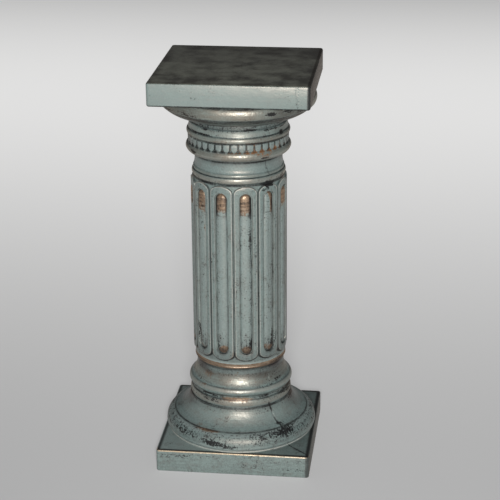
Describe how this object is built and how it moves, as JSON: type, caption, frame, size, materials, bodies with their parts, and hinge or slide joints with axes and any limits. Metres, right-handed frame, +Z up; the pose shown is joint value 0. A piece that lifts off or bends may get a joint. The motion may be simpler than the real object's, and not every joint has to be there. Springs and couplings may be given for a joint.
{
  "type": "decorative column",
  "caption": "Pedestal column with square plinth and abacus, turned mouldings and a shaft of arched panels, each holding a convex rod; finished as verdigris bronze.",
  "frame": {"origin": "on the floor, under the middle of the plinth", "axes": "+Z up the column, -Y towards the front, +X to the right"},
  "size_m": [0.268, 0.268, 0.7],
  "materials": {
    "verdigris_bronze_paint": "satin blue-green verdigris paint over bronze, with dark patina in the hollows"
  },
  "bodies": {
    "root": {"column": "verdigris_bronze_paint"}
  },
  "joints": []
}
